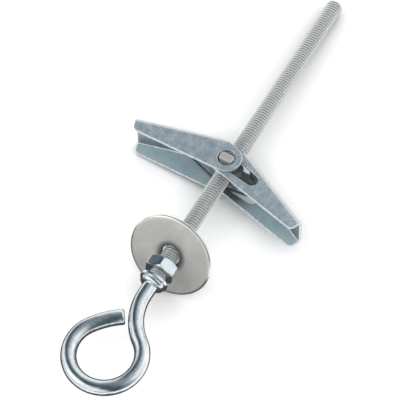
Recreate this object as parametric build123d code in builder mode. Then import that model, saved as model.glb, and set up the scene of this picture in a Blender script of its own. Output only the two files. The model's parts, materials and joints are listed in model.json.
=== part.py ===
from build123d import *
import os
from math import acos, asin, atan2, cos, degrees, hypot, radians, sin, sqrt, tan

# A spring toggle bolt, lying as it comes to rest: on the washer's rim, the stud's end and one wing tip.
# Millimetres and degrees. The origin is the middle of the eye, +X runs with the rod towards the end of
# the stud and +Z is up. Stations are distances along the rod from the middle of the eye.

# Rod: eye, collar and stud in one piece
wire_diameter = 5.3
eye_bend_radius = 11.9
neck_bend_radius = 20.0
tail_bend_radius = 30.0
tail_start_angle = 145.0
tail_end_angle = 123.0
tail_chamfer = 0.4
shank_straight = 3.5
collar_bead_diameter = 8.8
collar_bead_height = 1.5
collar_groove_depth = 0.3
collar_groove_height = 0.4
collar_flange_diameter = 9.9
collar_flange_thickness = 1.1
collar_flange_chamfer = 0.25
stud_diameter = 6.0
stud_length = 126.8
stud_chamfer = 0.9

# Hexagon nut
nut_across_flats = 10.0
nut_thickness = 4.1
nut_chamfer = 0.55
nut_turn = 4.0
nut_gap = 2.6
thread_clearance = 0.05

# Loose washer, leaning with its foot towards the eye
washer_diameter = 30.0
washer_hole_play = 2.4
washer_thickness = 1.2
washer_dish = 0.4
washer_dish_shares = (1.0, 0.25)
washer_edge_radius = 0.35
washer_lean = 25.0
washer_play = 0.3

# Wings: pressed channels, measured along the wing from the pivot and up from it towards the web
wing_length = 33.8
wing_sheet = 1.2
wing_bend_radius = 2.1
wing_web_rise = 7.8
wing_nose_radius = 5.2
wing_taper = 13.5
wing_web_start = 4.0
wing_tip_radius = 2.0
wing_side_play = 0.3
wing_fold_lean = 82.0
wing_fold_clearance = 0.4
outer_wing_lean = 13.5
inner_wing_lean = 27.5
slot_end_radius = 2.15
slot_length = 11.5

# Trunnion nut: a round-ended slab with two flat ears
trunnion_length = 12.4
trunnion_thickness = 4.5
trunnion_wall = 1.05
ear_length = 4.8
ear_thickness = 3.0
ear_corner_radius = 0.8
ear_hole_play = 0.5
ear_stand_out = 0.4

# Spring: one bent wire inside both channels
spring_wire_diameter = 0.8
spring_side_play = 0.2
spring_seat_play = 0.2
spring_reach = 16.0
spring_hook_drop = 4.0
spring_hook_radius = 3.2
spring_bar_radius = 1.6

# Widths across the toggle, from the threaded bore outwards
thread_bore_radius = stud_diameter / 2 + thread_clearance
trunnion_width = 2 * (thread_bore_radius + trunnion_wall)
spring_lane = spring_wire_diameter + 2 * spring_side_play
inner_wing_width = trunnion_width + 2 * (spring_lane + wing_sheet)
outer_wing_width = inner_wing_width + 2 * (wing_side_play + wing_sheet)

# Stations along the rod
wire_radius = wire_diameter / 2
stud_radius = stud_diameter / 2
neck_end = sqrt(eye_bend_radius**2 + 2 * eye_bend_radius * neck_bend_radius)
collar_base = neck_end + shank_straight
collar_groove = collar_base + collar_bead_height
collar_flange = collar_groove + collar_groove_height
collar_face = collar_flange + collar_flange_thickness
stud_end = collar_face + stud_length
nut_base = collar_face + nut_gap
nut_corner_radius = nut_across_flats / 2 / cos(radians(30))
lean_sin = sin(radians(washer_lean))
lean_cos = cos(radians(washer_lean))
lean_tan = tan(radians(washer_lean))
washer_radius = washer_diameter / 2
washer_hole_radius = (stud_diameter + washer_hole_play) / 2
washer_half = washer_thickness / 2
washer_lift = washer_hole_radius * lean_cos - washer_half * lean_sin - stud_radius - washer_play
washer_rise = (nut_corner_radius + washer_lift) * lean_tan + washer_half / lean_cos + washer_play
washer_station = nut_base + nut_thickness + washer_rise
taper_sin = sin(radians(wing_taper))
taper_cos = cos(radians(wing_taper))
tip_edge_rise = (wing_length * taper_sin - wing_nose_radius) / taper_cos
wing_rise = (outer_wing_width / 2 - washer_lift) * lean_tan + washer_half / lean_cos
folded_reach = wing_length * sin(radians(wing_fold_lean)) - tip_edge_rise * cos(radians(wing_fold_lean))
pivot_station = washer_station + wing_rise + wing_fold_clearance + folded_reach

# Lying attitude: the washer's foot and the stud's end set the dip, the outer wing's tip sets the roll
foot_drop = washer_radius * lean_cos + washer_half * lean_sin - washer_lift
foot_station = washer_station - washer_radius * lean_sin + washer_half * lean_cos
rod_dip = degrees(atan2(foot_drop - stud_radius, stud_end - foot_station))
outer_lean_sin = sin(radians(outer_wing_lean))
outer_lean_cos = cos(radians(outer_wing_lean))
tip_bend_rise = wing_web_rise - wing_bend_radius
tip_reach = wing_length * outer_lean_cos + tip_bend_rise * outer_lean_sin
tip_station = pivot_station - wing_length * outer_lean_sin + tip_bend_rise * outer_lean_cos
tip_drop = foot_drop - (tip_station - foot_station) * tan(radians(rod_dip))
rod_roll = degrees(asin((tip_drop - outer_wing_width / 2) / tip_reach))

# Rod plane: its normal is the rod's axis, its x axis points towards the inner wing, its y axis down
rod_direction = (cos(radians(rod_dip)), 0, -sin(radians(rod_dip)))
rod_level = Plane(origin=(0, 0, 0), x_dir=(0, -1, 0), z_dir=rod_direction)
rod = Plane(rod_level * Location((0, 0, 0), (0, 0, -rod_roll)))
rod_axis = Axis(rod.origin, rod.z_dir)
on_side = Location((0, 0, 0), (90, 0, 0))
half_turn = Location((0, 0, 0), (0, 0, 180))
rod_side = Plane(rod * on_side)

# Eye bolt: the wire runs from its tail round the eye and through the neck bend into the collar
neck_angle = degrees(atan2(neck_end, neck_bend_radius))
tail_offset = tail_bend_radius - eye_bend_radius
tail_centre = (
    -tail_offset * cos(radians(tail_start_angle)),
    -tail_offset * sin(radians(tail_start_angle)),
)
with BuildPart() as eye_bolt:
    with BuildLine(rod_side) as eye_line:
        tail = CenterArc(tail_centre, tail_bend_radius, tail_end_angle, tail_start_angle - tail_end_angle)
        CenterArc((0, 0), eye_bend_radius, tail_start_angle, 360 - tail_start_angle + neck_angle)
        CenterArc((neck_bend_radius, neck_end), neck_bend_radius, 180, neck_angle)
        Line((0, neck_end), (0, collar_base))
    with BuildSketch(Plane(rod * Location((0, 0, collar_base)))):
        Circle(wire_radius)
    sweep(path=eye_line.wire())
    tail_face = eye_bolt.faces().filter_by(GeomType.PLANE).sort_by_distance(tail @ 0)[0]
    chamfer(tail_face.edges(), tail_chamfer)
    with BuildSketch(rod_side):
        with BuildLine():
            bead = EllipticalCenterArc(
                (wire_radius, collar_groove),
                collar_bead_diameter / 2 - wire_radius,
                collar_bead_height,
                start_angle=270,
                arc_size=90,
            )
            Polyline(
                bead @ 1,
                (collar_bead_diameter / 2 - collar_groove_depth, collar_flange),
                (collar_flange_diameter / 2, collar_flange),
                (collar_flange_diameter / 2, collar_face - collar_flange_chamfer),
                (collar_flange_diameter / 2 - collar_flange_chamfer, collar_face),
                (stud_radius, collar_face),
                (stud_radius, stud_end - stud_chamfer),
                (stud_radius - stud_chamfer, stud_end),
                (0, stud_end),
                (0, collar_base),
                bead @ 0,
            )
        make_face()
    revolve(axis=rod_axis)
eye_bolt.part.label = "eye_bolt"

# Hexagon nut: a chamfered round blank cut to six flats, one corner up
nut_plane = Plane(rod * Location((0, 0, nut_base)))
with BuildPart() as hex_nut:
    with BuildSketch(nut_plane):
        Circle(nut_corner_radius)
    extrude(amount=nut_thickness)
    chamfer(hex_nut.edges().filter_by(GeomType.CIRCLE), nut_chamfer)
    with BuildSketch(nut_plane):
        RegularPolygon(nut_across_flats / 2, 6, major_radius=False, rotation=nut_turn - 90)
        Circle(thread_bore_radius, mode=Mode.SUBTRACT)
    extrude(amount=nut_thickness, mode=Mode.INTERSECT)
hex_nut.part.label = "hex_nut"

# Washer: a shallow dish round its hole, with a rounded rim
washer_plane = Plane(rod * Location((0, -washer_lift, washer_station), (-washer_lean, 0, 0)))
dish_radius = (washer_hole_radius + washer_radius) / 2
dish_rises = [share * washer_dish for share in washer_dish_shares]
with BuildPart() as washer:
    with BuildSketch(Plane(washer_plane * on_side)) as rim:
        with BuildLine():
            under = ThreePointArc(
                (washer_hole_radius, dish_rises[0] - washer_half),
                (dish_radius, dish_rises[1] - washer_half),
                (washer_radius, -washer_half),
            )
            over = ThreePointArc(
                (washer_hole_radius, dish_rises[0] + washer_half),
                (dish_radius, dish_rises[1] + washer_half),
                (washer_radius, washer_half),
            )
            Line(under @ 0, over @ 0)
            Line(under @ 1, over @ 1)
        make_face()
        fillet(rim.vertices().group_by(Axis.X)[-1], washer_edge_radius)
    revolve(axis=Axis(washer_plane.origin, washer_plane.z_dir))
washer.part.label = "washer"

# Trunnion nut: the slab is threaded on the stud and its ears stand in the wings' holes
pivot = Plane(rod * Location((0, 0, pivot_station)))
pivot_side = Plane(pivot * on_side)
with BuildPart() as trunnion_nut:
    with BuildSketch(pivot_side):
        SlotOverall(trunnion_length, trunnion_thickness)
    extrude(amount=trunnion_width / 2, both=True)
    with BuildSketch(pivot_side):
        RectangleRounded(ear_length, ear_thickness, ear_corner_radius)
    extrude(amount=outer_wing_width / 2 + ear_stand_out, both=True)
    with BuildSketch(pivot):
        Circle(thread_bore_radius)
    extrude(amount=trunnion_thickness, both=True, mode=Mode.SUBTRACT)
trunnion_nut.part.label = "trunnion_nut"

# Wings: a channel section run along the wing and trimmed to the tapered side view
ear_corner_reach = hypot(ear_length / 2 - ear_corner_radius, ear_thickness / 2 - ear_corner_radius)
pivot_hole_radius = ear_corner_reach + ear_corner_radius + ear_hole_play
slot_spread = asin((pivot_hole_radius - slot_end_radius) / slot_length)
slot_sides = [
    (pivot_hole_radius * sin(slot_spread), -pivot_hole_radius * cos(slot_spread)),
    (slot_length + slot_end_radius * sin(slot_spread), -slot_end_radius * cos(slot_spread)),
    (slot_length + slot_end_radius * sin(slot_spread), slot_end_radius * cos(slot_spread)),
    (pivot_hole_radius * sin(slot_spread), pivot_hole_radius * cos(slot_spread)),
]
crown_angle = degrees(atan2(wing_web_rise, wing_web_start)) + degrees(
    acos(wing_nose_radius / hypot(wing_web_start, wing_web_rise))
)
channel_depth = wing_web_rise + wing_nose_radius
channel_middle = (wing_web_rise - wing_nose_radius) / 2
wing_planes = {
    "outer_wing": Plane(pivot * half_turn * on_side * Location((0, 0, 0), (0, 0, -outer_wing_lean))),
    "inner_wing": Plane(pivot * on_side * Location((0, 0, 0), (0, 0, -inner_wing_lean))),
}
wing_widths = {"outer_wing": outer_wing_width, "inner_wing": inner_wing_width}
wings = {}
for wing_name, wing_plane in wing_planes.items():
    wing_width = wing_widths[wing_name]
    inside_width = wing_width - 2 * wing_sheet
    section_plane = Plane(wing_plane * Location((-wing_nose_radius, 0, 0), (0, 90, 0)))
    with BuildPart() as wing:
        with BuildSketch(section_plane) as outside:
            with Locations((0, channel_middle)):
                Rectangle(wing_width, channel_depth)
            fillet(outside.vertices().group_by(Axis.Y)[-1], wing_bend_radius)
        extrude(amount=wing_nose_radius + wing_length)
        with BuildSketch(section_plane) as inside:
            with Locations((0, channel_middle - wing_sheet)):
                Rectangle(inside_width, channel_depth)
            fillet(inside.vertices().group_by(Axis.Y)[-1], wing_bend_radius - wing_sheet)
        extrude(amount=wing_nose_radius + wing_length, mode=Mode.SUBTRACT)
        with BuildSketch(wing_plane) as side_view:
            with BuildLine():
                nose = CenterArc((0, 0), wing_nose_radius, crown_angle, 270 + wing_taper - crown_angle)
                Polyline(
                    nose @ 1,
                    (wing_length, tip_edge_rise),
                    (wing_length, wing_web_rise),
                    (wing_web_start, wing_web_rise),
                    nose @ 0,
                )
            make_face()
            fillet(side_view.vertices().group_by(Axis.X)[-1].sort_by(Axis.Y)[0], wing_tip_radius)
        extrude(amount=wing_width, both=True, mode=Mode.INTERSECT)
        with BuildSketch(wing_plane):
            with Locations((0, wing_web_rise - wing_bend_radius)):
                Rectangle(2 * wing_web_start, wing_bend_radius, align=(Align.CENTER, Align.MIN))
        extrude(amount=inside_width / 2, both=True, mode=Mode.SUBTRACT)
        with BuildSketch(Plane(wing_plane * Location((0, 0, 0), (0, 0, wing_taper)))):
            Circle(pivot_hole_radius)
            if wing_name == "inner_wing":
                Polygon(*slot_sides, align=None)
                with Locations((slot_length, 0)):
                    Circle(slot_end_radius)
        extrude(amount=wing_width, both=True, mode=Mode.SUBTRACT)
    wing.part.label = wing_name
    wings[wing_name] = wing.part

# Spring: both legs bear under the webs and bend round the ears on the eye's side
spring_radius = spring_wire_diameter / 2
spring_track = trunnion_width / 2 + spring_side_play + spring_radius
spring_seat = wing_web_rise - wing_sheet - spring_seat_play - spring_radius
seats = {}
for wing_name, side, lean in (("outer_wing", -1, outer_wing_lean), ("inner_wing", 1, inner_wing_lean)):
    lean_angle = radians(lean)
    seats[wing_name] = (
        side * (spring_reach * cos(lean_angle) + spring_seat * sin(lean_angle)),
        spring_seat * cos(lean_angle) - spring_reach * sin(lean_angle),
    )
inner_x, inner_z = seats["inner_wing"]
outer_x, outer_z = seats["outer_wing"]
with BuildPart() as torsion_spring:
    with BuildLine(pivot) as spring_line:
        FilletPolyline(
            (inner_x, spring_track, inner_z),
            (0, spring_track, -spring_hook_drop),
            (outer_x, spring_track, outer_z),
            (outer_x, -spring_track, outer_z),
            (0, -spring_track, -spring_hook_drop),
            (inner_x, -spring_track, inner_z),
            radius=(spring_hook_radius, spring_bar_radius, spring_bar_radius, spring_hook_radius),
        )
    spring_path = spring_line.wire()
    with BuildSketch(Plane(origin=spring_path @ 0, z_dir=spring_path % 0)):
        Circle(spring_radius)
    sweep(path=spring_path)
torsion_spring.part.label = "torsion_spring"

os.makedirs("parts", exist_ok=True)
export_step(eye_bolt.part, "parts/eye_bolt.step")
export_step(hex_nut.part, "parts/hex_nut.step")
export_step(washer.part, "parts/washer.step")
export_step(trunnion_nut.part, "parts/trunnion_nut.step")
export_step(wings["outer_wing"], "parts/outer_wing.step")
export_step(wings["inner_wing"], "parts/inner_wing.step")
export_step(torsion_spring.part, "parts/torsion_spring.step")
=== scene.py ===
import json
import math

import bmesh
import bpy
import numpy as np
from bpy.props import FloatProperty, FloatVectorProperty, IntProperty, PointerProperty
from mathutils import Matrix, Vector


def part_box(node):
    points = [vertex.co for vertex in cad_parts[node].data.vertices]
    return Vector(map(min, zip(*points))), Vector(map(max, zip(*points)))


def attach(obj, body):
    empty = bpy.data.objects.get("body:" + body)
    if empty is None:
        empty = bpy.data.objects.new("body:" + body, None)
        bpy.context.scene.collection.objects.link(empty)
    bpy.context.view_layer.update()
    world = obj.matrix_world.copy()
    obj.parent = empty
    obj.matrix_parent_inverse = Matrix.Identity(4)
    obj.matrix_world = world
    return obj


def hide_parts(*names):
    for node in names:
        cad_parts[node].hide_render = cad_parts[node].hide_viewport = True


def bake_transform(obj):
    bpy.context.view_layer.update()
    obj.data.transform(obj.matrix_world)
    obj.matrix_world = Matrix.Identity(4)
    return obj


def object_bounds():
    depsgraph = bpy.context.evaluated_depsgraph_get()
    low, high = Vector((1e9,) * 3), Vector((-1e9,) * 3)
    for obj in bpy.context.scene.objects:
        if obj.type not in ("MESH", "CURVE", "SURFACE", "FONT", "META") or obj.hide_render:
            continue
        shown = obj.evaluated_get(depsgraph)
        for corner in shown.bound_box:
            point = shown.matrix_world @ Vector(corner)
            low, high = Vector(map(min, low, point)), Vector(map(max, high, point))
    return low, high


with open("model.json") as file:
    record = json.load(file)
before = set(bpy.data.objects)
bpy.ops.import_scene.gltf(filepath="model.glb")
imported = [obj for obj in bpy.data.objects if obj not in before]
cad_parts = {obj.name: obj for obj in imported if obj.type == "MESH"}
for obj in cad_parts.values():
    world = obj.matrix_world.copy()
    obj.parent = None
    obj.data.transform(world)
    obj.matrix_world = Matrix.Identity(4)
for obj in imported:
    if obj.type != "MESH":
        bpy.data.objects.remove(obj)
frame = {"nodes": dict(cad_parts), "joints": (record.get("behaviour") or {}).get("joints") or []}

bl_info = {
    "name": "Spring Toggle Bolt",
    "version": (1, 0, 0),
    "blender": (4, 5, 0),
    "location": "View3D > Sidebar > Toggle Bolt",
    "description": "Builds the pieces, the finishes and the stage of a spring toggle bolt",
    "category": "Object",
}

MM = 0.001
WHITE, BLACK = (1.0, 1.0, 1.0), (0.0, 0.0, 0.0)
CAD_LOW, CAD_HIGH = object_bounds()
JOINTS = {joint["name"]: joint for joint in frame["joints"]}

# How finely the surfaces are divided, as points along or round a piece and as steps along a profile,
# and how far a profile's corners are rounded.
TAIL_POINTS, EYE_POINTS, NECK_POINTS = 28, 150, 50
BEAD_POINTS, BEND_POINTS, FEWEST_POINTS = 9, 14, 8
NUT_POINTS, WASHER_POINTS, SPRING_POINTS = 240, 160, 18
RINGS_PER_PITCH = 9
COLLAR_STEP, NUT_STEP, WASHER_STEP, SPRING_STEP = 0.07 * MM, 0.05 * MM, 0.12 * MM, 0.5 * MM
COLLAR_ROUND, WASHER_ROUND = 0.35 * MM, 0.25 * MM
BEVEL_SEGMENTS = 3

# Edges that turn by more than a crease are sharp; faces that turn by less than the flat limit are one.
TURNED_CREASE, PRESSED_CREASE, FLAT_LIMIT = math.radians(50), math.radians(30), math.radians(1)
MERGE_DISTANCE = 0.001 * MM

# Thread profile, as shares of its depth: the height at mid-crest before it is cut off at 1, and the fall of
# its flanks in one pitch. It runs out at the collar.
CREST_PEAK_SHARE, FLANK_FALL_SHARE = 1.45, 4.4
RUNOUT_TURNS = 1.5

# Washer: the straight part of its punched edge, as shares of the half thickness, how steeply the dish and
# the hole's drawn-in sides set in towards the hole, and the shape of its unevenness.
EDGE_LOW_SHARE, EDGE_HIGH_SHARE = 0.2, 0.5
DISH_POWER, DRAW_IN_POWER = 2, 8
RIPPLE_PHASE, RIPPLE_THIRD_SHARE = 0.7, 0.5

# The wings' finishes in the order of their material slots, and the turn of the faces that take them.
PLATE, EDGE, BEND, INSIDE, WEB = range(5)
BEND_TURN, CHEEK_TURN, INSIDE_TURN = 0.08, 0.995, -0.97

# Most of a noise's values lie between these two.
NOISE_LOW, NOISE_HIGH = 0.3, 0.7

# Levels of floor and card below the bolt's lowest point: the card lies just over the floor.
FLOOR_DROP, CARD_DROP = 0.05 * MM, 0.03 * MM
SENSOR_WIDTH, CLIP_START, CLIP_END = 36.0, 0.05, 20.0
LAMP_AIM_SHARE = 0.8


def vertex_places(mesh):
    """Every vertex of a mesh as one row of an array."""
    places = np.empty(3 * len(mesh.vertices))
    mesh.vertices.foreach_get("co", places)
    return places.reshape(-1, 3)


# The rod's own axes: across points to the inner wing, down to the floor, along to the stud's end.
ALONG = np.array(JOINTS["toggle_travel"]["axis"])
DOWN = np.array(JOINTS["inner_wing_fold"]["axis"])
ACROSS = np.cross(DOWN, ALONG)
ROD_AXES = np.stack([ACROSS, DOWN, ALONG])
ROD_DOWN = (0.0, 1.0, 0.0)
PIVOT = np.array(JOINTS["inner_wing_fold"]["pos_m"])
PIVOT_STATION = float(PIVOT @ ALONG)
STUD_END = float((vertex_places(frame["nodes"]["eye_bolt"].data) @ ALONG).max())


def length(name, description, millimetres):
    """A length property, given in millimetres and kept in metres."""
    return FloatProperty(
        name=name, description=description, default=millimetres * MM, unit="LENGTH", precision=5
    )


def angle(name, description, degrees):
    """An angle property, given in degrees and kept in radians."""
    return FloatProperty(
        name=name, description=description, default=math.radians(degrees), unit="ROTATION"
    )


def share(name, description, default):
    """A property from 0 to 1."""
    return FloatProperty(
        name=name, description=description, default=default, min=0, max=1, subtype="FACTOR"
    )


def colour(name, description, default):
    """A linear colour property."""
    return FloatVectorProperty(
        name=name, description=description, default=default, subtype="COLOR", min=0, max=1
    )


def place(name, description, default):
    """A point property, in metres."""
    return FloatVectorProperty(
        name=name, description=description, default=default, subtype="TRANSLATION", unit="LENGTH"
    )


def way(name, description, default):
    """A direction property."""
    return FloatVectorProperty(name=name, description=description, default=default, subtype="DIRECTION")


def fade(name, description, default):
    """A property for the two ends of a fade, from none to full."""
    return FloatVectorProperty(name=name, description=description, default=default, size=2)


def power(name, description, watts):
    """A property for a lamp's power."""
    return FloatProperty(name=name, description=description, default=watts, unit="POWER")


class RodSizes(bpy.types.PropertyGroup):
    """Sizes of the rod: wire eye, collar and threaded stud."""

    wire_radius: length("Wire radius", "Half the thickness of the eye's wire", 2.63)
    eye_bend: length("Eye bend", "Radius of the eye at the middle of the wire", 11.9)
    neck_bend: length("Neck bend", "Radius of the bend between eye and shank", 20.0)
    tail_bend: length("Tail bend", "Radius of the wire's free tail", 30.0)
    tail_start: angle("Tail start", "Where the tail leaves the eye's circle", 145.0)
    tail_end: angle("Tail end", "Where the tail is cut off", 123.0)
    tail_chamfer: length("Tail chamfer", "Broken edge of the cut tail", 0.4)
    shank_straight: length("Straight shank", "Straight wire below the collar", 3.5)
    bead_radius: length("Bead radius", "Radius of the collar's round bead", 4.4)
    bead_height: length("Bead height", "Height of the collar's round bead", 1.5)
    groove_radius: length("Groove radius", "Radius between bead and flange", 4.1)
    groove_height: length("Groove height", "Height of the groove above the bead", 0.4)
    flange_radius: length("Flange radius", "Radius of the collar's flange", 4.95)
    flange_height: length("Flange height", "Thickness of the collar's flange", 1.1)
    stud_radius: length("Stud radius", "Outer radius of the thread", 2.98)
    stud_chamfer: length("Stud chamfer", "Chamfer at the stud's end", 0.9)
    pitch: length("Pitch", "Distance from thread crest to crest", 1.0)
    thread_depth: length("Thread depth", "Height of the thread", 0.5)
    around: IntProperty(name="Facets", description="Points round the rod", default=44, min=12)


class NutSizes(bpy.types.PropertyGroup):
    """Sizes of the hexagon nut."""

    half_flats: length("Half across flats", "Half the width across flats", 5.0)
    height: length("Height", "Thickness of the nut", 4.1)
    chamfer: length("Chamfer", "Chamfer of the six corners", 0.55)
    bore_radius: length("Bore radius", "Radius of the threaded bore", 3.03)
    edge_round: length("Edge round", "How far the edges are rounded", 0.12)
    turn: angle("Turn", "Turn of the upper corner towards the inner wing", 4.0)
    gap: length("Gap", "Clear thread between collar and nut", 2.6)


class WasherSizes(bpy.types.PropertyGroup):
    """Sizes of the loose washer."""

    radius: length("Radius", "Outer radius", 15.0)
    hole_radius: length("Hole radius", "Radius of the hole", 3.9)
    draw_in: share("Draw-in", "How far the hole's sides are drawn in towards the stud", 0.14)
    half_thickness: length("Half thickness", "Half the sheet's thickness", 0.6)
    dish: length("Dish", "How far the middle is pressed towards the toggle", 0.4)
    rim_width: length("Rim width", "Width of the rubbed, sloping rim", 1.1)
    rim_drop: length("Rim drop", "How far the rim slopes off", 0.16)
    # Painted shade: the dark ring round the washer's hole stands in for the shade in the gap by the stud.
    hole_shade_width: length("Ring width", "Width of the dull ring round the hole", 2.4)
    rim_round: length("Rim round", "Rounding of the punched rim", 0.35)
    lean: angle("Lean", "Lean of the washer from square to the rod", 25.0)
    ripple: length("Ripple", "Unevenness of the pressed sheet", 0.03)


class WingSizes(bpy.types.PropertyGroup):
    """Sizes of the pressed wings, measured from the pivot along the wing and up towards its web."""

    outer_lean: angle("Outer lean", "Lean of the outer wing", 13.5)
    inner_lean: angle("Inner lean", "Lean of the inner wing", 27.5)
    web_start: length("Web start", "Where the web begins along the wing", 4.0)
    web_rise: length("Web rise", "Height of the web's outer face", 7.8)
    web_inside: length("Web inside", "Faces turned to the pivot from further off are the web's", 5.5)
    bend_radius: length("Bend radius", "Outer radius of the bends into the web", 2.1)
    broken_edge: length("Broken edge", "Width of the broken edges of the sheet", 0.25)
    # Painted shade: a dark patch inside the inner wing towards the pivot; these two set where it fades.
    pivot_shade_reach: length("Worn reach", "How far the slot's dark wear reaches from the pivot", 16.0)
    pivot_shade_heart: length("Worn heart", "Where the slot's wear is darkest, from the pivot", 8.0)


class TrunnionSizes(bpy.types.PropertyGroup):
    """Sizes of the trunnion nut, measured from the pivot along the fold axis."""

    broken_edge: length("Broken edge", "Width of the broken edges", 0.22)
    # Painted shade: the slab's dark colour fades out towards the bright ears.
    slab_end: length("Slab end", "Where the slab's dark plate begins to fade", 5.0)
    ear_start: length("Ear start", "Where the ear's bright plate is full", 8.0)


class SpringSizes(bpy.types.PropertyGroup):
    """Sizes of the spring wire, measured from the pivot."""

    wire_radius: length("Wire radius", "Half the thickness of the spring wire", 0.4)
    track: length("Track", "Distance of each leg from the middle", 4.7)
    seat: length("Seat", "Height of the legs' ends under the webs", 6.0)
    reach: length("Reach", "Distance of the legs' ends along the wings", 16.0)
    hook_drop: length("Hook drop", "Depth of the bend below the ears", 4.0)
    hook_radius: length("Hook radius", "Radius of the bend below the ears", 3.2)
    bar_radius: length("Bar radius", "Radius of the bends into the cross bar", 1.6)


class FinishColours(bpy.types.PropertyGroup):
    """Colours of the plated steel and of its painted shade, reflection and highlights, lightest and darkest
    of each finish.
    """

    wire_light: colour("Wire light", "Bright zinc on the eye, collar and nut", (0.93, 0.95, 0.96))
    wire_dark: colour("Wire dark", "Dull streaks on the eye, collar and nut", (0.70, 0.76, 0.80))
    crest: colour("Thread crest", "Crests of the rolled thread", (0.97, 0.99, 0.98))
    # Painted shade in the thread's roots.
    root: colour("Thread root", "Roots of the rolled thread", (0.56, 0.58, 0.57))
    washer_light: colour("Washer light", "Light patches of the washer", (0.99, 0.98, 0.93))
    washer_dark: colour("Washer dark", "Dark patches of the washer", (0.80, 0.79, 0.74))
    # Painted shade round the washer's hole, for the gap by the stud.
    washer_hole_shade: colour("Washer ring", "Dull ring round the washer's hole", (0.17, 0.18, 0.17))
    wing_light: colour("Wing light", "Light mottling of the wings", (0.84, 0.93, 0.97))
    wing_dark: colour("Wing dark", "Dark mottling of the wings", (0.52, 0.63, 0.69))
    # Painted highlight on the broken edges of the sheet.
    wing_edge_highlight: colour("Wing edge", "Bright broken edges of the sheet", (0.97, 0.98, 0.98))
    bend_light: colour("Bend light", "Rubbed bends of the sheet", (0.74, 0.76, 0.78))
    bend_dark: colour("Bend dark", "Dull patches of the bends", (0.61, 0.64, 0.67))
    # Painted reflection: the pale, nearly matt inside of the cheeks stands in for light mirrored inside the
    # channel.
    inside_reflection_light: colour("Inside light", "Inner faces of the cheeks", (0.82, 0.99, 1.00))
    inside_reflection_dark: colour("Inside dark", "Dull patches inside the cheeks", (0.66, 0.88, 0.98))
    # Painted shade inside the inner wing's cheeks, near the pivot.
    pivot_shade: colour("Worn", "Dark wear round the inner wing's slots", (0.16, 0.20, 0.21))
    # Painted shade under the web, inside the channel.
    web_shade_light: colour("Web light", "Dull plate under the web", (0.44, 0.50, 0.53))
    web_shade_dark: colour("Web dark", "Dark patches under the web", (0.28, 0.33, 0.36))
    trunnion_light: colour("Trunnion light", "Light patches of the trunnion's ears", (0.95, 0.93, 0.88))
    trunnion_dark: colour("Trunnion dark", "Dark patches of the trunnion's ears", (0.76, 0.75, 0.72))
    # Painted shade on the trunnion's slab, between the cheeks.
    slab_shade_light: colour("Slab light", "Light patches of the trunnion's slab", (0.30, 0.31, 0.32))
    slab_shade_dark: colour("Slab dark", "Dark patches of the trunnion's slab", (0.14, 0.15, 0.16))
    spring_light: colour("Spring light", "Drawn spring wire", (0.20, 0.21, 0.22))
    spring_dark: colour("Spring dark", "Dark streaks of the spring wire", (0.08, 0.08, 0.09))


class StageSettings(bpy.types.PropertyGroup):
    """Camera, floor and light."""

    lens: FloatProperty(
        name="Lens", description="Focal length for a 36 mm sensor", default=192.6, subtype="DISTANCE_CAMERA"
    )
    camera_place: place("Camera place", "Camera in the rod's own axes", (0.1919, -0.6139, -0.2490))
    camera_aim: place("Camera aim", "Point in the middle of the picture", (-0.0021, 0.0, 0.0650))
    camera_up: way("Camera up", "The picture's upward direction", (-0.416, -0.515, 0.750))
    floor_half: length("Floor", "Half the floor's width", 4000.0)
    floor_colour: colour("Floor colour", "Colour of the pale floor", (0.90, 0.90, 0.90))
    floor_glow: share("Floor glow", "Part of the floor's white that its shadow leaves", 0.62)
    floor_shade: length("Floor shade", "How far above the floor an object still dims its glow", 15.0)
    floor_open: fade("Floor open", "Openness of the floor where its glow begins and is full", (0.36, 0.92))
    key_power: power("Key light", "Power of the large soft light", 0.9)
    key_place: place("Key place", "Where the large soft light stands", (0.45, -0.80, 0.62))
    key_size: length("Key size", "Width of the large soft light", 1000.0)
    fill_power: power("Fill light", "Power of the small soft light", 0.6)
    fill_place: place("Fill place", "Where the small soft light stands", (-0.55, 0.60, 0.52))
    fill_size: length("Fill size", "Width of the small soft light", 450.0)
    sky_level: share("Sky level", "Strength of the sky as a light", 0.50)
    sky_dark: colour("Sky dark", "The dark studio above and behind the camera", (0.060, 0.095, 0.120))
    stripe_way: way("Stripe side", "Across the dark stripe, to its left side", (-0.809, 0.557, -0.188))
    left_edge: fade("Left edge", "Where the dark stripe fades out on its left", (0.20, 0.38))
    left_tone: colour("Left tone", "Colour of the bright left side", WHITE)
    right_edge: fade("Right edge", "Where the dark stripe fades out on its right", (-0.18, -0.70))
    right_tone: colour("Right tone", "Colour of the bright right side", (0.62, 0.66, 0.69))
    back_edge: fade("Back edge", "Where the bright wall behind the toggle begins", (0.58, 0.78))
    back_tone: colour("Back tone", "Colour of the bright wall behind the toggle", WHITE)
    horizon: share("Horizon", "Height of the bright strip over the floor", 0.24)
    strip_edge: fade("Strip edge", "Where the bright strip begins towards the toggle", (-0.2, 0.4))
    card_margin: length("Card margin", "How far the dark card reaches past the bolt's box", 60.0)
    card_end: length("Card end", "Where the dark card ends along the rod", 40.0)
    card_tone: colour("Card tone", "Colour of the dark card that edges the metal", (0.33, 0.36, 0.38))
    card_dim: share("Card dim", "Darkest patches of the card, as a share of its colour", 0.8)


GROUPS = {
    "toggle_rod": RodSizes,
    "toggle_nut": NutSizes,
    "toggle_washer": WasherSizes,
    "toggle_wings": WingSizes,
    "toggle_trunnion": TrunnionSizes,
    "toggle_spring": SpringSizes,
    "toggle_finish": FinishColours,
    "toggle_stage": StageSettings,
}


def require(test, message):
    """Stops an operator that can't finish."""
    if not test:
        raise RuntimeError(message)


# Surfaces


def smooth_step(value, low, high):
    """0 below low, 1 above high and the cubic 3t^2 - 2t^3 between them."""
    t = np.clip((value - low) / (high - low), 0, 1)
    return t * t * (3 - 2 * t)


def full_turn(count):
    """Evenly spaced angles of one full turn."""
    return np.linspace(0, 2 * np.pi, count, endpoint=False)


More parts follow.
